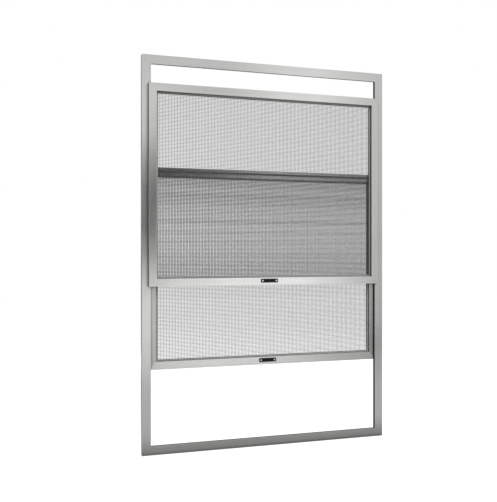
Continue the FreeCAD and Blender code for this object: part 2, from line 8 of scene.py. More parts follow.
# %% Load the frame
import math
import bmesh
import bpy
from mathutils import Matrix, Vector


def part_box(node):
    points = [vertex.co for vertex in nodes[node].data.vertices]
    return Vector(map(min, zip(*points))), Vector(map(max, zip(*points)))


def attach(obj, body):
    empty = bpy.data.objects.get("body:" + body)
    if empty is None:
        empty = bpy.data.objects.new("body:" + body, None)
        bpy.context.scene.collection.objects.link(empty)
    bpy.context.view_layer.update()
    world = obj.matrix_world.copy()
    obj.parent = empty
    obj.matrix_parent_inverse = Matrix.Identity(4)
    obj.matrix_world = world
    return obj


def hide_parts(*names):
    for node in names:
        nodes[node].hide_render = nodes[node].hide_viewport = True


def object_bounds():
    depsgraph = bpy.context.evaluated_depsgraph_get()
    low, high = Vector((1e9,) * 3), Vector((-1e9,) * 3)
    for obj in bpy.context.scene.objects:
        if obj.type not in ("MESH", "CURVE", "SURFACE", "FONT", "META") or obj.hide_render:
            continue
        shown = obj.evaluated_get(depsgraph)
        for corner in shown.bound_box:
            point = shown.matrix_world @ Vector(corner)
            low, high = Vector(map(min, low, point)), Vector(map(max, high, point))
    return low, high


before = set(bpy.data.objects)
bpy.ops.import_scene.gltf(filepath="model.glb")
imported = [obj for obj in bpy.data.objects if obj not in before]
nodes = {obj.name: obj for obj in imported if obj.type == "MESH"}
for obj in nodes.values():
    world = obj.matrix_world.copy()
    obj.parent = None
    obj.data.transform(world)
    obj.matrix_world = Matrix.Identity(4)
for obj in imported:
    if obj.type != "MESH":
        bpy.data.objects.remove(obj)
cad_low, cad_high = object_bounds()
scene = bpy.context.scene
MM = 0.001

# %% [markdown]
# ## A few small helpers
# Every finish and every repeating piece is a node tree. One function adds a node, sets what it is
# told and links what it is given. Another turns a colour as a painter would write it, in
# sRGB hex, into the linear numbers that shaders work in. The next three empty a tree, start a
# finish and give it to solids, which keep their meshes. The last one writes sizes in millimetres.

# %% Node and colour helpers
def add(tree, kind, inputs=None, **settings):
    """A new node: settings are its properties, inputs are values or sockets by name or place."""
    node = tree.nodes.new(kind)
    for name, value in settings.items():
        setattr(node, name, value)
    for key, value in (inputs or {}).items():
        if isinstance(value, bpy.types.NodeSocket):
            tree.links.new(value, node.inputs[key])
        else:
            node.inputs[key].default_value = value
    return node


def colour(text):
    """Linear colour with alpha from an sRGB hex text."""
    shares = [int(text[i:i + 2], 16) / 255 for i in (1, 3, 5)]
    linear = [s / 12.92 if s <= 0.04045 else ((s + 0.055) / 1.055) ** 2.4 for s in shares]
    return (*linear, 1.0)


def bare_tree(owner):
    """The emptied node tree of a material or a world."""
    owner.use_nodes = True
    owner.node_tree.nodes.clear()
    return owner.node_tree


def new_finish(name):
    """A material with only a principled shader and its output; returns it, its tree and shader."""
    material = bpy.data.materials.new(name)
    tree = bare_tree(material)
    shader = add(tree, "ShaderNodeBsdfPrincipled")
    add(tree, "ShaderNodeOutputMaterial", {"Surface": shader.outputs[0]})
    return material, tree, shader


def dress(material, names):
    """Gives a finish to solids that stay as they are."""
    for name in names:
        nodes[name].data.materials.clear()
        nodes[name].data.materials.append(material)


def in_mm(lengths):
    """Lengths in metres as rounded millimetres, for printing."""
    return [round(length / MM, 2) for length in lengths]


print("the grey #808080 is %.3f in linear light" % colour("#808080")[0])

# %% [markdown]
# ## The camera
# The view is level, at half the height of the frame, a little to its left. The numbers come from
# lining up the frame's and sashes' edges with the picture that is being followed.

# %% Camera
IMAGE_WIDTH, IMAGE_HEIGHT = 497, 502
FOCAL_PIXELS = 710.1
CAMERA_PLACE = (-0.7378, -2.1193, 0.6077)
CAMERA_YAW = math.radians(17.648)
HORIZON_DROP_PIXELS = 1.44
SENSOR = 36.0
NEAREST, FARTHEST = 0.05, 60.0

camera = bpy.data.objects.new("camera", bpy.data.cameras.new("camera"))
scene.collection.objects.link(camera)
camera.data.sensor_width = SENSOR
camera.data.lens = FOCAL_PIXELS * SENSOR / max(IMAGE_WIDTH, IMAGE_HEIGHT)
camera.data.shift_y = HORIZON_DROP_PIXELS / max(IMAGE_WIDTH, IMAGE_HEIGHT)
camera.data.clip_start = NEAREST
camera.data.clip_end = FARTHEST
camera.location = CAMERA_PLACE
camera.rotation_euler = (math.radians(90), 0, -CAMERA_YAW)
scene.camera = camera
print("lens %.2f mm" % camera.data.lens)

# %% [markdown]
# ## Satin anodised aluminium
# The bars are extruded and then etched and anodised. Two kinds of shade on them come first. Bars
# that run close together shade each other, and a track is dim inside. Soft lamps draw little of
# that, so it is painted into the finish as shade: its tint darkens where little open space is left
# round a point.

# %% Shade in narrow places
CONTACT_MM = 14
VEILED_CONTACT_MM = 4
CONTACT_SHADE_LEVEL = 0.42
CLOSED_IN, OPEN = 0.5, 0.9
SHADE_SAMPLES = 16


def contact_shade(tree, reach_mm):
    """Painted shade: a share of the tint that falls where little open space is left round a point,
    as between two bars.
    """
    space = add(tree, "ShaderNodeAmbientOcclusion", {"Distance": reach_mm * MM},
                samples=SHADE_SAMPLES)
    return add(tree, "ShaderNodeMapRange", {"Value": space.outputs["AO"], "From Min": CLOSED_IN,
                                            "From Max": OPEN, "To Min": CONTACT_SHADE_LEVEL,
                                            "To Max": 1.0}).outputs[0]


print("bars that stand within", CONTACT_MM, "mm shade each other")

# %% [markdown]
# The sides of the frame that face the opening are the mouths of its tracks. On the real frame a
# fine dark line runs round the opening there, where the tracks lie in shade. That shade is painted:
# a dark grey on these sides draws it. It may be a finish, dust or shade, and a dark grey on these
# sides draws it. To find them, the place of a point, seen from the middle of the frame, is held
# against the way its surface faces: the result is negative where the surface faces inwards.

# %% Painted shade in the track mouths
MID_FRAME = (0.0, 0.0, (cad_low.z + cad_high.z) / 2)
FRAME_PLANE = (1, 0, 1)
INWARD, SIDEWAYS = -0.3, -0.1
TRACK_SHADE_LEVEL = 0.1


def track_shade(tree, coordinates):
    """Painted shade: a share of the tint that falls on the sides that face the middle of the frame.
    """
    from_middle = add(tree, "ShaderNodeVectorMath", {0: coordinates.outputs["Object"],
                                                     1: MID_FRAME}, operation="SUBTRACT")
    in_plane = add(tree, "ShaderNodeVectorMath", {0: from_middle.outputs[0], 1: FRAME_PLANE},
                   operation="MULTIPLY")
    outward = add(tree, "ShaderNodeVectorMath", {0: in_plane.outputs[0],
                                                 1: coordinates.outputs["Normal"]},
                  operation="DOT_PRODUCT")
    return add(tree, "ShaderNodeMapRange", {"Value": outward.outputs["Value"], "From Min": INWARD,
                                            "From Max": SIDEWAYS, "To Min": TRACK_SHADE_LEVEL,
                                            "To Max": 1.0}).outputs[0]


print("track mouths keep", TRACK_SHADE_LEVEL, "of the tint")

# %% [markdown]
# Then the finish itself. The die leaves faint lines along the bar, and the etch softens the
# reflection without hiding it. Real die lines are about a tenth of a millimetre apart, too fine to
# show here, so they are drawn 1.1 mm apart. A plain metal shader would mirror too much, because
# the oxide skin scatters part of the light, so the finish is mostly metal and partly matte. The
# lines follow the bar, so upright and level bars have finishes of their own, in which the pattern
# is stretched another way.

# %% Aluminium finishes
DIE_LINE_MM = 1.1
DIE_LINE_RUN_MM = 320
DIE_LINES = {"Scale": 1.0, "Detail": 3.0, "Roughness": 0.6}
LINE_DARK, LINE_LIGHT = 0.35, 0.65
LINE_RELIEF_MM = 0.05
LINE_STRENGTH = 0.06
CLOUD_MM = 140
CLOUD_LOW, CLOUD_HIGH = 0.3, 0.7
SMOOTHEST, ROUGHEST = 0.17, 0.23
METAL_SHARE = 0.78


def satin_aluminium(name, stretch, dark, light, contact_mm=CONTACT_MM, tracked=False):
    """Anodised aluminium whose die lines run along the axis that is stretched."""
    material, tree, shader = new_finish(name)
    coordinates = add(tree, "ShaderNodeTexCoord")
    place = coordinates.outputs["Object"]
    across = 1 / (DIE_LINE_MM * MM)
    along = 1 / (DIE_LINE_RUN_MM * MM)
    scale = [along if axis == stretch else across for axis in "XYZ"]
    lined = add(tree, "ShaderNodeMapping", {"Vector": place, "Scale": scale})
    lines = add(tree, "ShaderNodeTexNoise", {"Vector": lined.outputs[0], **DIE_LINES})
    cloud = add(tree, "ShaderNodeTexNoise", {"Vector": place, "Scale": 1 / (CLOUD_MM * MM)})
    tint = add(tree, "ShaderNodeValToRGB", {"Fac": lines.outputs[0]})
    ends = ((LINE_DARK, dark), (LINE_LIGHT, light))
    for element, (position, tone) in zip(tint.color_ramp.elements, ends):
        element.position = position
        element.color = colour(tone)
    polish = add(tree, "ShaderNodeMapRange", {"Value": cloud.outputs[0], "From Min": CLOUD_LOW,
                                              "From Max": CLOUD_HIGH, "To Min": SMOOTHEST,
                                              "To Max": ROUGHEST})
    relief = add(tree, "ShaderNodeBump", {"Height": lines.outputs[0], "Strength": LINE_STRENGTH,
                                          "Distance": LINE_RELIEF_MM * MM})
    # Painted shade: the tint darkens between close bars.
    bright = contact_shade(tree, contact_mm)
    # Painted shade in the frame's track mouths.
    if tracked:
        bright = add(tree, "ShaderNodeMath", {0: bright, 1: track_shade(tree, coordinates)},
                     operation="MULTIPLY").outputs[0]
    shaded = add(tree, "ShaderNodeVectorMath", {0: tint.outputs[0], "Scale": bright},
                 operation="SCALE")
    shader.inputs["Metallic"].default_value = METAL_SHARE
    tree.links.new(shaded.outputs[0], shader.inputs["Base Color"])
    tree.links.new(polish.outputs[0], shader.inputs["Roughness"])
    tree.links.new(relief.outputs[0], shader.inputs["Normal"])
    return material


# To the eye: pale grey metal with soft, smoothly graded reflections and faint lines along the bar.
PALE, PALEST = "#c3c3c1", "#d0d0ce"
BARS = [
    (satin_aluminium("satin_anodised_upright", "Z", PALE, PALEST),
     ["upper_left_stile", "upper_right_stile"]),
    (satin_aluminium("satin_anodised_level", "X", PALE, PALEST),
     ["upper_top_rail", "upper_bottom_rail", "lower_bottom_rail"]),
    # To the eye: the same, with painted shade darkening the track mouths round the opening.
    (satin_aluminium("track_shaded_anodised_upright", "Z", PALE, PALEST, tracked=True),
     ["left_jamb", "right_jamb"]),
    (satin_aluminium("track_shaded_anodised_level", "X", PALE, PALEST, tracked=True),
     ["head_rail", "sill_rail"]),
    # To the eye: the same metal, a little greyer: painted shade for the stiles that sit deep in the
    # rear track.
    (satin_aluminium("painted_shade_anodised_upright", "Z", "#a8a8a6", "#b7b7b5"),
     ["lower_left_stile", "lower_right_stile"]),
    # To the eye: as on the other level bars. The cloth in front already veils this rail, so its
    # contact shade has a shorter reach, which leaves the cloth out.
    (satin_aluminium("satin_anodised_veiled", "X", PALE, PALEST, contact_mm=VEILED_CONTACT_MM),
     ["lower_top_rail"]),
]
for finish, names in BARS:
    dress(finish, names)
    print(finish.name, "on", len(names), "bars")

# %% [markdown]
# ## Plain metals, nylon, rubber and moulded plastic
# The smaller parts are cast, moulded, rolled or plated, and each has one finish. One noise pattern
# gives each its variation in colour, polish and relief, which is simpler than a tree for every
# part and enough for pieces of this size. Real grain on them is finer than a tenth of a millimetre,
# too fine to show, so it is drawn 0.5 to 3 mm wide.

# %% Grained finishes
GRAIN = {"Detail": 4.0, "Roughness": 0.65}
GRAIN_STRENGTH = 0.4
POLISH_SWING = 0.08


def grained(name, dark, light, grain_mm, roughness, relief_mm, metallic=0.0, gloss=0.5):
    """A finish whose grain varies colour and polish a little and stands up in low relief."""
    material, tree, shader = new_finish(name)
    place = add(tree, "ShaderNodeTexCoord").outputs["Object"]
    grain = add(tree, "ShaderNodeTexNoise", {"Vector": place, "Scale": 1 / (grain_mm * MM),
                                             **GRAIN})
    tint = add(tree, "ShaderNodeValToRGB", {"Fac": grain.outputs[0]})
    for element, tone in zip(tint.color_ramp.elements, (dark, light)):
        element.color = colour(tone)
    polish = add(tree, "ShaderNodeMapRange", {"Value": grain.outputs[0],
                                              "To Min": roughness - POLISH_SWING,
                                              "To Max": roughness + POLISH_SWING})
    relief = add(tree, "ShaderNodeBump", {"Height": grain.outputs[0], "Strength": GRAIN_STRENGTH,
                                          "Distance": relief_mm * MM})
    shader.inputs["Metallic"].default_value = metallic
    shader.inputs["Specular IOR Level"].default_value = gloss
    tree.links.new(tint.outputs[0], shader.inputs["Base Color"])
    tree.links.new(polish.outputs[0], shader.inputs["Roughness"])
    tree.links.new(relief.outputs[0], shader.inputs["Normal"])
    return material


CORNERS = ["bottom_left", "top_left", "top_right", "bottom_right"]
SASHES = ["upper", "lower"]
# To the eye: the dull grey grain of a casting, seen only where a mitre opens.
diecast = grained("diecast_key", "#8d8d8a", "#a9a9a6", 1.5, 0.5, 0.05, metallic=1.0)
# To the eye: milky white with a soft sheen.
nylon = grained("moulded_natural_nylon", "#d4d3cc", "#e4e3dc", 3.0, 0.45, 0.02)
# To the eye: a matte pale line round the cloth.
rubber = grained("extruded_spline_rubber", "#b6b6b4", "#cbcbc8", 0.8, 0.7, 0.05)
# To the eye: deep black with a weak, soft highlight.
black_plastic = grained("moulded_black_plastic", "#0c0c0d", "#171718", 0.5, 0.45, 0.03,
                        gloss=0.25)
# To the eye: a clear, slightly streaked grey metal.
spring_steel = grained("rolled_spring_steel", "#9a9a98", "#b5b5b2", 0.7, 0.3, 0.01, metallic=1.0)
# To the eye: a small pale dot of metal with a dark cross in it.
zinc = grained("zinc_plated_steel", "#a4a6a8", "#c2c4c6", 0.9, 0.25, 0.01, metallic=1.0)
PLAIN_PARTS = [
    (diecast, ["%s_key_%s" % (part, corner) for part in ("frame", *SASHES) for corner in CORNERS]),
    (nylon, ["%s_glide_%s_%s" % (sash, side, level) for sash in SASHES
             for side in ("left", "right") for level in ("high", "low")]),
    (rubber, [sash + "_spline" for sash in SASHES]),
    (black_plastic, [sash + "_pull" for sash in SASHES]),
    (spring_steel, ["%s_spring_%s" % (sash, level) for sash in SASHES
                    for level in ("high", "low")]),
]
for finish, names in PLAIN_PARTS:
    dress(finish, names)
    print(finish.name, "on", len(names), "solids")

# %% [markdown]
# ## Growing pieces from trees
# Cloth, screws and pile are made by the thousand on a loom or a header, and here too what repeats
# is grown, by a geometry tree with named sizes. The tree runs once on an empty mesh, and its
# result is kept as a plain mesh, because an exported file has no trees in it.

# %% Tree helpers
SOCKET_KINDS = {float: "NodeSocketFloat", int: "NodeSocketInt", tuple: "NodeSocketVector"}


def new_tree(name, sizes):
    """An empty geometry tree with one named input per size; returns it and its input sockets."""
    tree = bpy.data.node_groups.new(name, "GeometryNodeTree")
    tree.interface.new_socket("Geometry", in_out="OUTPUT", socket_type="NodeSocketGeometry")
    for size, value in sizes.items():
        socket = tree.interface.new_socket(size, in_out="INPUT",
                                           socket_type=SOCKET_KINDS[type(value)])
        socket.default_value = value
    entry = add(tree, "NodeGroupInput")
    return tree, {size: entry.outputs[size] for size in sizes}


def close_tree(tree, geometry, material, smooth):
    """The last nodes of every tree: real geometry, its shading and its material."""
    real = add(tree, "GeometryNodeRealizeInstances", {"Geometry": geometry})
    shaded = add(tree, "GeometryNodeSetShadeSmooth", {"Geometry": real.outputs[0],
                                                      "Shade Smooth": smooth})
    painted = add(tree, "GeometryNodeSetMaterial", {"Geometry": shaded.outputs[0],
                                                    "Material": material})
    add(tree, "NodeGroupOutput", {"Geometry": painted.outputs[0]})


def grow(name, tree, sizes):
    """Runs a tree with the given sizes and keeps the result as a plain mesh."""
    piece = bpy.data.objects.new(name, bpy.data.meshes.new(name))
    scene.collection.objects.link(piece)
    modifier = piece.modifiers.new("grow", "NODES")
    modifier.node_group = tree
    for item in tree.interface.items_tree:
        if item.in_out == "INPUT" and item.name in sizes:
            modifier[item.identifier] = sizes[item.name]
    bpy.context.view_layer.update()
    grown = piece.evaluated_get(bpy.context.evaluated_depsgraph_get())
    mesh = bpy.data.meshes.new_from_object(grown)
    piece.modifiers.remove(modifier)
    piece.data = mesh
    triangles = sum(len(face.vertices) - 2 for face in mesh.polygons)
    print(name, "has", triangles, "triangles")
    return piece


print("a tree can take", ", ".join(kind.__name__ for kind in SOCKET_KINDS), "sizes")

# %% [markdown]
# ## The insect cloth
# Insect cloth is a plain weave of coated threads, commonly 18 by 14 to the inch, so about 1.4 mm
# apart one way and 1.8 mm the other. A colour with holes would lose the over and under of the
# weave, so each weft thread is a tape that waves past the straight warp threads. Real threads are
# finer than one picture element here, so they are drawn 4.6 and 4.1 mm apart, and wider to match.
# Both cloths are alike, so where they overlap their threads fall in and out of step and soft
# streaks show. A little wander in the spacing gives each its own streaks, as real cloth has.

# %% The weave tree
CLOTH_GREY_DARK, CLOTH_GREY_LIGHT = "#3c3d3d", "#565757"
DRIFT_THREADS = 5
FIRST_SEED, SEED_STEP = 7.3, 40.0
# To the eye: dark grey matte threads, which thin to a pale veil against a white ground.
threads = grained("coated_cloth_thread", CLOTH_GREY_DARK, CLOTH_GREY_LIGHT, 2.0, 0.6, 0.03)

weave, cloth_size = new_tree("weave", {
    "Width": 0.7, "Height": 0.55, "Warp Threads": 152, "Weft Threads": 134,
    "Thread Width": 0.97 * MM, "Thread Thickness": 0.6 * MM, "Wave": 0.4 * MM,
    "Wander": 0.8 * MM, "Seed": FIRST_SEED, "Hem Depth": 2.0 * MM, "Hem Thickness": 0.5 * MM,
    "Centre": (0.0, 0.0, 0.0)})


def thread_layer(count, crossings, run, spread, upright, wave_sign):
    """Parallel tapes: a line of crossing points, repeated across, waved and given a section."""
    def step(total, number):
        """The distance between points that share a length evenly."""
        gaps = add(weave, "ShaderNodeMath", {0: number, 1: 1.0}, operation="SUBTRACT")
        return add(weave, "ShaderNodeMath", {0: total, 1: gaps.outputs[0]},
                   operation="DIVIDE").outputs[0]

    def spaced_line(number, total, along_z):
        """A line of evenly spaced points about the middle."""
        half = add(weave, "ShaderNodeMath", {0: total, 1: -0.5}, operation="MULTIPLY")
        axis = "Z" if along_z else "X"
        start = add(weave, "ShaderNodeCombineXYZ", {axis: half.outputs[0]})
        offset = add(weave, "ShaderNodeCombineXYZ", {axis: step(total, number)})
        return add(weave, "GeometryNodeMeshLine", {"Count": number,
                                                   "Start Location": start.outputs[0],
                                                   "Offset": offset.outputs[0]}).outputs[0]

    copies = add(weave, "GeometryNodeInstanceOnPoints",
                 {"Points": spaced_line(count, spread, not upright),
                  "Instance": spaced_line(crossings, run, upright)})
    lines = add(weave, "GeometryNodeRealizeInstances", {"Geometry": copies.outputs[0]})
    index = add(weave, "GeometryNodeInputIndex").outputs[0]
    share = add(weave, "ShaderNodeMath", {0: index, 1: crossings}, operation="DIVIDE")
    row = add(weave, "ShaderNodeMath", {0: share.outputs[0]}, operation="FLOOR").outputs[0]
    column = add(weave, "ShaderNodeMath", {0: index, 1: crossings}, operation="MODULO")
    crossing = add(weave, "ShaderNodeMath", {0: row, 1: column.outputs[0]}, operation="ADD")
    odd = add(weave, "ShaderNodeMath", {0: crossing.outputs[0], 1: 2.0}, operation="MODULO")
    side = add(weave, "ShaderNodeMath", {0: odd.outputs[0], 1: 2.0 * wave_sign, 2: -wave_sign},
               operation="MULTIPLY_ADD")
    wave = add(weave, "ShaderNodeMath", {0: side.outputs[0], 1: cloth_size["Wave"]},
               operation="MULTIPLY").outputs[0]
    reach = add(weave, "ShaderNodeMath", {0: row, 1: 1 / DRIFT_THREADS, 2: cloth_size["Seed"]},
                operation="MULTIPLY_ADD")
    noise = add(weave, "ShaderNodeTexNoise", {"W": reach.outputs[0], "Scale": 1.0, "Detail": 1.0},
                noise_dimensions="1D")
    about_zero = add(weave, "ShaderNodeMath", {0: noise.outputs[0], 1: 0.5}, operation="SUBTRACT")
    stray = add(weave, "ShaderNodeMath", {0: about_zero.outputs[0], 1: cloth_size["Wander"]},
                operation="MULTIPLY")
    drift = add(weave, "ShaderNodeCombineXYZ",
                {"X" if upright else "Z": stray.outputs[0], "Y": wave})
    waved = add(weave, "GeometryNodeSetPosition", {"Geometry": lines.outputs[0],
                                                   "Offset": drift.outputs[0]})
    paths = add(weave, "GeometryNodeMeshToCurve", {"Mesh": waved.outputs[0]})
    broad, thin = cloth_size["Thread Width"], cloth_size["Thread Thickness"]
    section = add(weave, "GeometryNodeCurvePrimitiveQuadrilateral",
                  {"Width": broad if upright else thin, "Height": thin if upright else broad})
    return add(weave, "GeometryNodeCurveToMesh", {"Curve": paths.outputs[0],
                                                  "Profile Curve": section.outputs[0],
                                                  "Fill Caps": True}).outputs[0]


STRAIGHT = 2
wide, tall = cloth_size["Width"], cloth_size["Height"]
warp_count, weft_count = cloth_size["Warp Threads"], cloth_size["Weft Threads"]
warp = thread_layer(warp_count, STRAIGHT, tall, wide, upright=True, wave_sign=0.0)
weft = thread_layer(weft_count, warp_count, wide, tall, upright=False, wave_sign=1.0)
rim = add(weave, "GeometryNodeCurvePrimitiveQuadrilateral", {"Width": wide, "Height": tall})
rim_section = add(weave, "GeometryNodeCurvePrimitiveQuadrilateral",
                  {"Width": cloth_size["Hem Thickness"], "Height": cloth_size["Hem Depth"]})
hem = add(weave, "GeometryNodeCurveToMesh", {"Curve": rim.outputs[0],
                                             "Profile Curve": rim_section.outputs[0]})
half_deep = add(weave, "ShaderNodeMath", {0: cloth_size["Hem Depth"], 1: 0.5},
                operation="MULTIPLY")
behind = add(weave, "ShaderNodeCombineXYZ", {"Y": half_deep.outputs[0]})
stood = add(weave, "GeometryNodeTransform", {"Geometry": hem.outputs[0],
                                             "Translation": behind.outputs[0],
                                             "Rotation": (math.pi / 2, 0, 0)})
cloth_parts = add(weave, "GeometryNodeJoinGeometry")
for part in (warp, weft, stood.outputs[0]):
    weave.links.new(part, cloth_parts.inputs[0])
in_place = add(weave, "GeometryNodeTransform", {"Geometry": cloth_parts.outputs[0],
                                                "Translation": cloth_size["Centre"]})
close_tree(weave, in_place.outputs[0], threads, True)
print("the weave tree has", len(weave.nodes), "nodes")

# %% [markdown]
# Each cloth fills the place of its flat solid. Its edge is turned back into the groove of the sash
# bars and locked there, so it hangs stretched on all four. As a flat piece it is larger than the
# opening by the turned edge all round.

# %% Grow both cloths
HEM_IN_MM = 0.25
CLOTH_FRONT_MM = 0.5
WARP_STEP, WEFT_STEP = 4.6 * MM, 4.1 * MM
for number, sash in enumerate(SASHES):
    low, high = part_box(sash + "_cloth")
    width = high.x - low.x - 2 * HEM_IN_MM * MM
    height = high.z - low.z - 2 * HEM_IN_MM * MM
    centre = ((low.x + high.x) / 2, low.y + CLOTH_FRONT_MM * MM, (low.z + high.z) / 2)
    woven = grow(sash + "_woven_cloth", weave, {
        "Width": width, "Height": height, "Seed": FIRST_SEED + SEED_STEP * number, "Centre": centre,
        "Warp Threads": round(width / WARP_STEP), "Weft Threads": round(height / WEFT_STEP)})
    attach(woven, sash + "_sash")
    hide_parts(sash + "_cloth")
    print(sash, "cloth in the box", in_mm((*low, *high)), "measures", in_mm(woven.dimensions))

# %% [markdown]
# ## Screw heads
# Each finger pull is held by two small countersunk screws with a cross recess, which show as two
# pale dots. A real one is headed and threaded from wire. Here it is a cone on a shank with a cross
# cut out of it, made once in a tree and set at both ends of the pull. The thread sits in the rail
# and is left out.

# %% The screw tree
HEAD_DEPTH_MM = 1.25
CROSS_TURN = 0.5
FACETS = 24
screw_tree, screw_size = new_tree("pull_screws", {
    "Head Radius": 2.7 * MM, "Head Depth": HEAD_DEPTH_MM * MM, "Shank Radius": 1.45 * MM,
    "Shank Length": 6.2 * MM, "Slot Length": 3.0 * MM, "Slot Width": 0.6 * MM,
    "Slot Depth": 0.9 * MM, "Spacing": 45.0 * MM, "Front Centre": (0.0, 0.0, 0.0)})
head = add(screw_tree, "GeometryNodeMeshCone", {
    "Vertices": FACETS, "Depth": screw_size["Head Depth"],
    "Radius Top": screw_size["Head Radius"], "Radius Bottom": screw_size["Shank Radius"]})
head_drop = add(screw_tree, "ShaderNodeMath", {0: screw_size["Head Depth"], 1: -1.0},
                operation="MULTIPLY")
head_down = add(screw_tree, "ShaderNodeCombineXYZ", {"Z": head_drop.outputs[0]})
head_set = add(screw_tree, "GeometryNodeTransform", {"Geometry": head.outputs["Mesh"],
                                                     "Translation": head_down.outputs[0]})
cross = add(screw_tree, "GeometryNodeJoinGeometry")
slot_height = add(screw_tree, "ShaderNodeMath", {0: screw_size["Slot Depth"], 1: 2.0},
                  operation="MULTIPLY")
for long_way, short_way in (("X", "Y"), ("Y", "X")):
    slot_size = add(screw_tree, "ShaderNodeCombineXYZ", {
        long_way: screw_size["Slot Length"], short_way: screw_size["Slot Width"],
        "Z": slot_height.outputs[0]})
    slot = add(screw_tree, "GeometryNodeMeshCube", {"Size": slot_size.outputs[0]})
    screw_tree.links.new(slot.outputs["Mesh"], cross.inputs[0])
cut_head = add(screw_tree, "GeometryNodeMeshBoolean", {"Mesh 1": head_set.outputs[0],
                                                       "Mesh 2": cross.outputs[0],
                                                       "Self Intersection": True},
               operation="DIFFERENCE", solver="EXACT")
shank = add(screw_tree, "GeometryNodeMeshCylinder", {
    "Vertices": FACETS, "Radius": screw_size["Shank Radius"], "Depth": screw_size["Shank Length"]})
below = add(screw_tree, "ShaderNodeMath", {0: screw_size["Shank Length"], 1: -0.5,
                                           2: head_drop.outputs[0]}, operation="MULTIPLY_ADD")
shank_down = add(screw_tree, "ShaderNodeCombineXYZ", {"Z": below.outputs[0]})
shank_set = add(screw_tree, "GeometryNodeTransform", {"Geometry": shank.outputs["Mesh"],
                                                      "Translation": shank_down.outputs[0]})
screw = add(screw_tree, "GeometryNodeJoinGeometry")
for part in (cut_head.outputs["Mesh"], shank_set.outputs[0]):
    screw_tree.links.new(part, screw.inputs[0])
facing = add(screw_tree, "GeometryNodeTransform", {"Geometry": screw.outputs[0],
                                                   "Rotation": (math.pi / 2, CROSS_TURN, 0)})
half_apart = add(screw_tree, "ShaderNodeMath", {0: screw_size["Spacing"], 1: -0.5},
                 operation="MULTIPLY")
first = add(screw_tree, "ShaderNodeCombineXYZ", {"X": half_apart.outputs[0]})
apart = add(screw_tree, "ShaderNodeCombineXYZ", {"X": screw_size["Spacing"]})
pull_ends = add(screw_tree, "GeometryNodeMeshLine", {
    "Count": 2, "Start Location": first.outputs[0], "Offset": apart.outputs[0]})
pair = add(screw_tree, "GeometryNodeInstanceOnPoints", {"Points": pull_ends.outputs[0],
                                                        "Instance": facing.outputs[0]})
placed = add(screw_tree, "GeometryNodeTransform", {"Geometry": pair.outputs[0],
                                                   "Translation": screw_size["Front Centre"]})
close_tree(screw_tree, placed.outputs[0], zinc, False)
print("the screw tree has", len(screw_tree.nodes), "nodes")

# %% [markdown]
# The screws take the size and the place of the plain solids that they replace.

# %% Set the screws
for sash in SASHES:
    left_low, left_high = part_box(sash + "_pull_screw_left")
    right_low, right_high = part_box(sash + "_pull_screw_right")
    centre = ((left_low.x + right_high.x) / 2, left_low.y, (left_low.z + left_high.z) / 2)
    screws = grow(sash + "_pull_screws", screw_tree, {
        "Head Radius": (left_high.x - left_low.x) / 2, "Spacing": right_low.x - left_low.x,
        "Shank Length": left_high.y - left_low.y - HEAD_DEPTH_MM * MM,
        "Front Centre": centre})
    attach(screws, sash + "_sash")
    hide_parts(sash + "_pull_screw_left", sash + "_pull_screw_right")
    print(sash, "screws in the box", in_mm((*left_low, *right_high)),
          "measure", in_mm(screws.dimensions))

# %% [markdown]
# ## The brush strip
# A strip of short pile on the lower sash closes the gap between the two meeting rails. It is woven
# on a backing tape and slid into the rail. A flat grey bar would look like rubber, so rows of thin
# fibres stand on a backing and lean a little, each its own way. Real pile has many more and finer
# fibres than the six rows drawn here.

# %% The pile tree
END_BARE_MM, EDGE_BARE_MM = 2.0, 1.2
FIBRE_SIDES = 4
# To the eye: a soft mid-grey edge with no shine.
pile_finish = grained("woven_pile", "#8f8f8d", "#b0b0ad", 1.2, 0.85, 0.05)
pile_tree, pile_size = new_tree("pile", {
    "Length": 0.698, "Height": 6.0 * MM, "Depth": 3.1 * MM, "Backing": 0.6 * MM,
    "Columns": 420, "Rows": 6, "Fibre Radius": 0.32 * MM, "Tip Radius": 0.08 * MM,
    "Lean": 0.16, "Seed": 3, "Back Middle": (0.0, 0.0, 0.0)})
backing_size = add(pile_tree, "ShaderNodeCombineXYZ", {
    "X": pile_size["Length"], "Y": pile_size["Backing"], "Z": pile_size["Height"]})
backing = add(pile_tree, "GeometryNodeMeshCube", {"Size": backing_size.outputs[0]})
fibre_run = add(pile_tree, "ShaderNodeMath", {0: pile_size["Depth"], 1: pile_size["Backing"]},
                operation="SUBTRACT")
fibre = add(pile_tree, "GeometryNodeMeshCone", {
    "Vertices": FIBRE_SIDES, "Depth": fibre_run.outputs[0], "Radius Top": pile_size["Tip Radius"],
    "Radius Bottom": pile_size["Fibre Radius"]}, fill_type="NONE")
bed_length = add(pile_tree, "ShaderNodeMath", {0: pile_size["Length"], 1: END_BARE_MM * MM},
                 operation="SUBTRACT")
bed_height = add(pile_tree, "ShaderNodeMath", {0: pile_size["Height"], 1: EDGE_BARE_MM * MM},
                 operation="SUBTRACT")
bed = add(pile_tree, "GeometryNodeMeshGrid", {
    "Size X": bed_length.outputs[0], "Size Y": bed_height.outputs[0],
    "Vertices X": pile_size["Columns"], "Vertices Y": pile_size["Rows"]})
stand = add(pile_tree, "GeometryNodeTransform", {"Geometry": bed.outputs["Mesh"],
                                                 "Rotation": (math.pi / 2, 0, 0)})
lean_back = add(pile_tree, "ShaderNodeMath", {0: pile_size["Lean"], 1: -1.0}, operation="MULTIPLY")
lean_low = add(pile_tree, "ShaderNodeCombineXYZ", {axis: lean_back.outputs[0] for axis in "XYZ"})
lean_high = add(pile_tree, "ShaderNodeCombineXYZ", {axis: pile_size["Lean"] for axis in "XYZ"})
lean = add(pile_tree, "FunctionNodeRandomValue", {
    "Min": lean_low.outputs[0], "Max": lean_high.outputs[0], "Seed": pile_size["Seed"]},
    data_type="FLOAT_VECTOR")
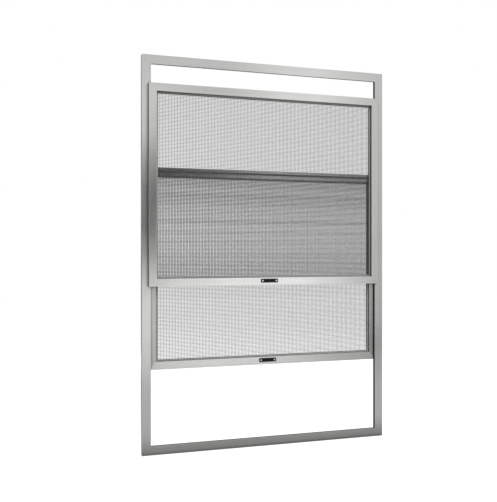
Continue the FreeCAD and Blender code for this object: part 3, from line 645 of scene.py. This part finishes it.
forward = add(pile_tree, "ShaderNodeVectorMath", {0: lean.outputs[0], 1: (math.pi / 2, 0, 0)})
tufts = add(pile_tree, "GeometryNodeInstanceOnPoints", {
    "Points": stand.outputs[0], "Instance": fibre.outputs["Mesh"], "Rotation": forward.outputs[0]})
half_backing = add(pile_tree, "ShaderNodeMath", {0: pile_size["Backing"], 1: -0.5},
                   operation="MULTIPLY")
backing_place = add(pile_tree, "ShaderNodeCombineXYZ", {"Y": half_backing.outputs[0]})
backing_set = add(pile_tree, "GeometryNodeTransform", {"Geometry": backing.outputs["Mesh"],
                                                       "Translation": backing_place.outputs[0]})
tuft_foot = add(pile_tree, "ShaderNodeMath", {0: pile_size["Backing"], 1: -1.0},
                operation="MULTIPLY")
tuft_place = add(pile_tree, "ShaderNodeCombineXYZ", {"Y": tuft_foot.outputs[0]})
tufts_set = add(pile_tree, "GeometryNodeTransform", {"Geometry": tufts.outputs[0],
                                                     "Translation": tuft_place.outputs[0]})
strip = add(pile_tree, "GeometryNodeJoinGeometry")
for part in (backing_set.outputs[0], tufts_set.outputs[0]):
    pile_tree.links.new(part, strip.inputs[0])
strip_set = add(pile_tree, "GeometryNodeTransform", {"Geometry": strip.outputs[0],
                                                     "Translation": pile_size["Back Middle"]})
close_tree(pile_tree, strip_set.outputs[0], pile_finish, False)
print("the pile tree has", len(pile_tree.nodes), "nodes")

# %% [markdown]
# The strip takes the place of its plain solid and rides on the lower sash.

# %% Set the brush strip
low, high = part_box("meeting_pile")
brush = grow("meeting_brush", pile_tree, {
    "Length": high.x - low.x, "Height": high.z - low.z, "Depth": high.y - low.y,
    "Back Middle": ((low.x + high.x) / 2, high.y, (low.z + high.z) / 2)})
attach(brush, "lower_sash")
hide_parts("meeting_pile")
print("brush in the box", in_mm((*low, *high)), "measures", in_mm(brush.dimensions))

# %% [markdown]
# ## The stage
# A pale floor and a white surround stand for a studio. Both are white to the eye and in
# reflections, while the light that they throw on the object stays at a lower level, so that a
# colour looks about as it is written.

# %% Floor
FLOOR_SIZE = 14.0
FLOOR_GREY = "#a9a9a9"
FLOOR_SHOWN = 0.86


def shown_rays(tree):
    """One for rays that show a surface, to the eye or in a reflection, and zero for the rest."""
    path = add(tree, "ShaderNodeLightPath")
    seen = add(tree, "ShaderNodeMath", {0: path.outputs["Is Camera Ray"],
                                        1: path.outputs["Is Glossy Ray"]}, operation="MAXIMUM")
    return add(tree, "ShaderNodeMath", {0: seen.outputs[0],
                                        1: path.outputs["Is Transmission Ray"]},
               operation="MAXIMUM").outputs[0]


floor_mesh = bpy.data.meshes.new("floor")
shape = bmesh.new()
bmesh.ops.create_grid(shape, x_segments=1, y_segments=1, size=FLOOR_SIZE / 2)
shape.to_mesh(floor_mesh)
shape.free()
floor = bpy.data.objects.new("floor", floor_mesh)
scene.collection.objects.link(floor)
# To the eye: white matte paper, a little grey in the object's shadow.
floor_paper = bpy.data.materials.new("pale_floor")
tree = bare_tree(floor_paper)
lift = add(tree, "ShaderNodeMath", {0: shown_rays(tree), 1: FLOOR_SHOWN}, operation="MULTIPLY")
matte = add(tree, "ShaderNodeBsdfDiffuse", {"Color": colour(FLOOR_GREY)})
glow = add(tree, "ShaderNodeEmission", {"Strength": lift.outputs[0]})
paper = add(tree, "ShaderNodeAddShader", {0: matte.outputs[0], 1: glow.outputs[0]})
add(tree, "ShaderNodeOutputMaterial", {"Surface": paper.outputs[0]})
floor_mesh.materials.append(floor_paper)
print("floor of", FLOOR_SIZE, "m")

# %% [markdown]
# The surround is the white room round the object. A picture of a studio could stand there and
# light it, but one even white is enough, because the cards below give the metal its contrast.

# %% Surround
SKY_LIGHT, SKY_SHOWN = 0.45, 1.0
world = bpy.data.worlds.new("studio")
scene.world = world
tree = bare_tree(world)
level = add(tree, "ShaderNodeMapRange", {"Value": shown_rays(tree), "To Min": SKY_LIGHT,
                                         "To Max": SKY_SHOWN})
sky = add(tree, "ShaderNodeBackground", {"Color": colour("#ffffff"), "Strength": level.outputs[0]})
add(tree, "ShaderNodeOutputWorld", {"Surface": sky.outputs[0]})
scene.view_settings.view_transform = "Standard"
print("the surround lights at", SKY_LIGHT, "and shows at", SKY_SHOWN)

# %% [markdown]
# ## Studio light
# One large soft lamp hangs to the front right and a weaker one behind, so that the back is lit
# too. The metal doesn't mirror them: what it shows comes from the cards of the next step.

# %% Lamps
LAMP_SIDE = 1.4


def soft_lamp(name, place, watts):
    """A square lamp turned to the frame, which neither the camera nor a reflection sees."""
    lamp = bpy.data.objects.new(name, bpy.data.lights.new(name, "AREA"))
    scene.collection.objects.link(lamp)
    lamp.data.shape = "SQUARE"
    lamp.data.size = LAMP_SIDE
    lamp.data.energy = watts
    lamp.location = place
    towards = [middle - start for middle, start in zip(MID_FRAME, place)]
    heading = math.atan2(-towards[0], towards[1])
    level_run = math.hypot(towards[0], towards[1])
    lamp.rotation_euler = (math.pi / 2 + math.atan2(towards[2], level_run), 0, heading)
    lamp.visible_camera = False
    lamp.visible_glossy = False
    print(name, watts, "W at", place)


soft_lamp("front_panel", (0.9, -1.7, 2.7), 42.0)
soft_lamp("back_panel", (0.9, 1.7, 2.7), 25.0)

# %% [markdown]
# ## Graded reflectors
# Bright metal shows what stands round it, and in an even white studio it looks like paper. A
# photographer hangs graded cards out of the picture, so that the bars show soft light and dark.
# Here one card stands before the screen and one behind it, and one lies on the floor on each
# side. Only reflections see them. Each is a little below white, with soft spots that lift or
# lower it.

# %% Cards
DARKEST = 0.02


def graded_card(name, corners, level, spots):
    """A card seen only in reflections; a spot is its centre, half sizes, turn and lift."""
    mesh = bpy.data.meshes.new(name)
    mesh.from_pydata(corners, [], [(0, 1, 2, 3)])
    card = bpy.data.objects.new(name, mesh)
    scene.collection.objects.link(card)
    for ray in ("camera", "diffuse", "transmission", "volume_scatter", "shadow"):
        setattr(card, "visible_" + ray, False)
    paint = bpy.data.materials.new(name)
    tree = bare_tree(paint)
    place = add(tree, "ShaderNodeTexCoord").outputs["Object"]
    for centre, halves, turn, lift in spots:
        moved = add(tree, "ShaderNodeMapping", {"Vector": place, "Location": centre,
                                                "Rotation": turn, "Scale": halves},
                    vector_type="TEXTURE")
        ball = add(tree, "ShaderNodeTexGradient", {"Vector": moved.outputs[0]},
                   gradient_type="SPHERICAL")
        soft = add(tree, "ShaderNodeMapRange", {"Value": ball.outputs["Fac"], "To Max": lift},
                   interpolation_type="SMOOTHSTEP")
        level = add(tree, "ShaderNodeMath", {0: level, 1: soft.outputs[0]}).outputs[0]
    least = add(tree, "ShaderNodeMath", {0: level, 1: DARKEST}, operation="MAXIMUM")
    glow = add(tree, "ShaderNodeEmission", {"Strength": least.outputs[0]})
    add(tree, "ShaderNodeOutputMaterial", {"Surface": glow.outputs[0]})
    mesh.materials.append(paint)
    print(name, "with", len(spots), "soft spots")


CARD_REACH, CARD_TOP = 4.0, 2.4
FRONT_Y, BACK_Y = -2.2, 2.12
SILL_Y = 0.009
FLOOR_LIFT = 0.001
UNTURNED = (0, 0, 0)


def standing(y):
    """Corners of an upright card."""
    return [(-CARD_REACH, y, 0), (CARD_REACH, y, 0), (CARD_REACH, y, CARD_TOP),
            (-CARD_REACH, y, CARD_TOP)]


def lying(near, far):
    """Corners of a card on the floor."""
    return [(-CARD_REACH, near, FLOOR_LIFT), (CARD_REACH, near, FLOOR_LIFT),
            (CARD_REACH, far, FLOOR_LIFT), (-CARD_REACH, far, FLOOR_LIFT)]


# Before the screen: a dark slant that the left jamb and stile show, light above and below it, a
# sheen for the middle of the rails, and duller parts for the right jamb and the far left.
graded_card("front_card", standing(FRONT_Y), 0.8, [
    ((0.1, FRONT_Y, 0.96), (0.85, 1.0, 0.36), (0, math.radians(-53), 0), -1.6),
    ((0.0, FRONT_Y, 1.45), (0.6, 1.0, 0.4), UNTURNED, 0.45),
    ((1.0, FRONT_Y, 0.9), (0.62, 1.0, 1.9), UNTURNED, 0.8),
    ((0.4, FRONT_Y, 0.25), (0.85, 1.0, 0.5), UNTURNED, 0.95),
    ((1.9, FRONT_Y, 0.7), (0.75, 1.0, 1.8), UNTURNED, -0.4),
    ((1.4, FRONT_Y, 0.0), (0.6, 1.0, 0.35), UNTURNED, -0.6),
    ((-1.6, FRONT_Y, 0.7), (1.4, 1.0, 1.8), UNTURNED, -1.2),
])
# On the floor before it: a dark strip for the sill, and light and dull parts for the bars above it.
graded_card("front_floor_card", lying(FRONT_Y, -SILL_Y), 0.65, [
    ((0.2, 0.0, 0.0), (6.0, 0.28, 1.0), UNTURNED, -0.42),
    ((0.3, -1.75, 0.0), (0.8, 0.8, 1.0), UNTURNED, 0.8),
    ((1.4, -1.5, 0.0), (0.7, 0.9, 1.0), UNTURNED, -0.35),
])
# Behind the screen: a dark upright strip for the sides of the bars that face left, which goes on
# across the floor.
graded_card("back_card", standing(BACK_Y), 0.95, [
    ((-0.82, BACK_Y, 0.6), (0.5, 1.0, 3.2), UNTURNED, -1.1),
])
graded_card("back_floor_card", lying(SILL_Y, BACK_Y), 0.85, [
    ((-0.65, 1.06, 0.0), (0.4, 1.5, 1.0), (0, 0, math.radians(9)), -0.7),
])

# %% [markdown]
# ## Sizes
# The dressed object must fill the same box as the solids. The box of the solids is printed.

# %% Size of the solids
print("solids fill", in_mm((*cad_low, *cad_high)))
